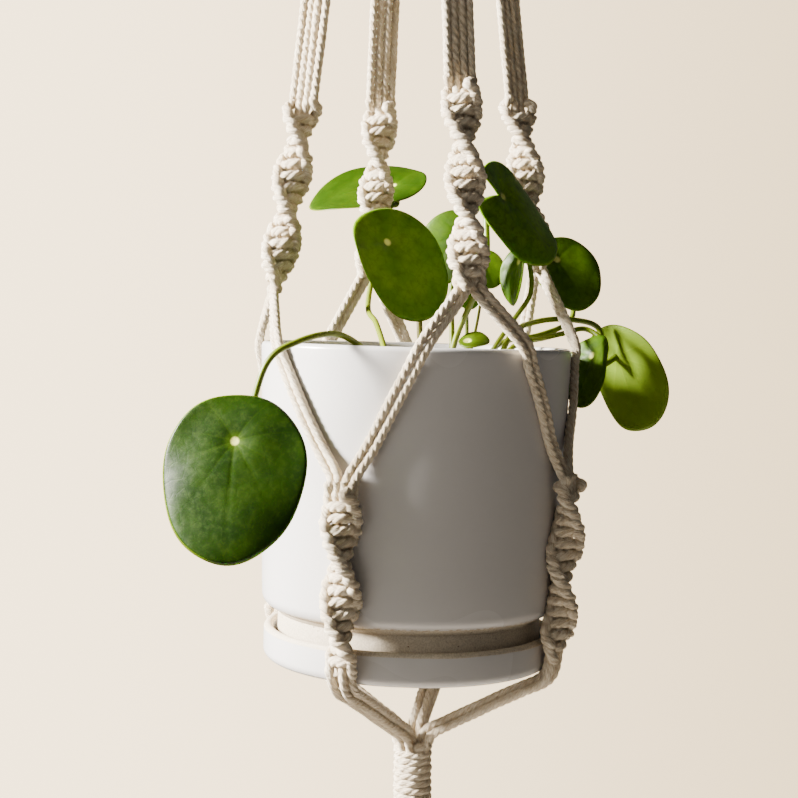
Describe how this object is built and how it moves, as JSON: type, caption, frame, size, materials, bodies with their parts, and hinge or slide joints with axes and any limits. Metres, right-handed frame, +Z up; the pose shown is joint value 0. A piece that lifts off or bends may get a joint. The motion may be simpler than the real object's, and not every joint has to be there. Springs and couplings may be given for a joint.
{
  "type": "hanging potted plant",
  "caption": "Round-leaved pilea in a white glazed pot and saucer, carried by a knotted cotton cord hanger that hangs from a wooden ring.",
  "frame": {"origin": "inside top of the hanging ring's bore, where the hook bears", "axes": "+Z up along the hanging axis, the front that the low leaf hangs over at -Y, +X to the right seen from the front"},
  "size_m": [0.2071, 0.1949, 0.8988],
  "materials": {
    "white_glaze": "smooth white satin glaze, bare speckled stoneware at the saucer's rim and the pot's foot",
    "potting_soil": "crumbly matt potting mix of bark and peat",
    "leaf_green": "waxy, smooth, deep green",
    "petiole_green": "smooth yellow-green stalk",
    "stem_bark": "matt brown bark with leaf scars",
    "cotton_cord": "natural unbleached three-strand cotton rope, slightly fuzzy",
    "ring_wood": "smooth oiled wood"
  },
  "bodies": {
    "root": {"arm_cords_back": "cotton_cord", "arm_cords_front": "cotton_cord", "arm_cords_left": "cotton_cord", "arm_cords_right": "cotton_cord", "arm_knots_back": "cotton_cord", "arm_knots_front": "cotton_cord", "arm_knots_left": "cotton_cord", "arm_knots_right": "cotton_cord", "gathering_wrap": "cotton_cord", "hanging_ring": "ring_wood", "leaf_back": "leaf_green", "leaf_back_right": "leaf_green", "leaf_behind_front_arm": "leaf_green", "leaf_centre_front": "leaf_green", "leaf_far_right": "leaf_green", "leaf_folded": "leaf_green", "leaf_low_front": "leaf_green", "leaf_small_centre": "leaf_green", "leaf_small_right": "leaf_green", "leaf_soil_shoot": "leaf_green", "leaf_young_edge_on": "leaf_green", "leaf_young_low": "leaf_green", "low_bundle_back_left": "cotton_cord", "low_bundle_back_right": "cotton_cord", "low_bundle_front_left": "cotton_cord", "low_bundle_front_right": "cotton_cord", "low_knots_back_left": "cotton_cord", "low_knots_back_right": "cotton_cord", "low_knots_front_left": "cotton_cord", "low_knots_front_right": "cotton_cord", "pair_back_to_back_left": "cotton_cord", "pair_back_to_back_right": "cotton_cord", "pair_front_to_front_left": "cotton_cord", "pair_front_to_front_right": "cotton_cord", "pair_left_to_back_left": "cotton_cord", "pair_left_to_front_left": "cotton_cord", "pair_right_to_back_right": "cotton_cord", "pair_right_to_front_right": "cotton_cord", "petiole_back": "petiole_green", "petiole_back_right": "petiole_green", "petiole_behind_front_arm": "petiole_green", "petiole_centre_front": "petiole_green", "petiole_far_right": "petiole_green", "petiole_folded": "petiole_green", "petiole_low_front": "petiole_green", "petiole_small_centre": "petiole_green", "petiole_small_right": "petiole_green", "petiole_soil_shoot": "petiole_green", "petiole_young_edge_on": "petiole_green", "petiole_young_low": "petiole_green", "pot": "white_glaze", "ring_hitch_cords": "cotton_cord", "saucer": "white_glaze", "soil": "potting_soil", "stem_left": "stem_bark", "stem_middle": "stem_bark", "stem_right": "stem_bark", "tassel": "cotton_cord", "top_wrap": "cotton_cord"}
  },
  "joints": []
}
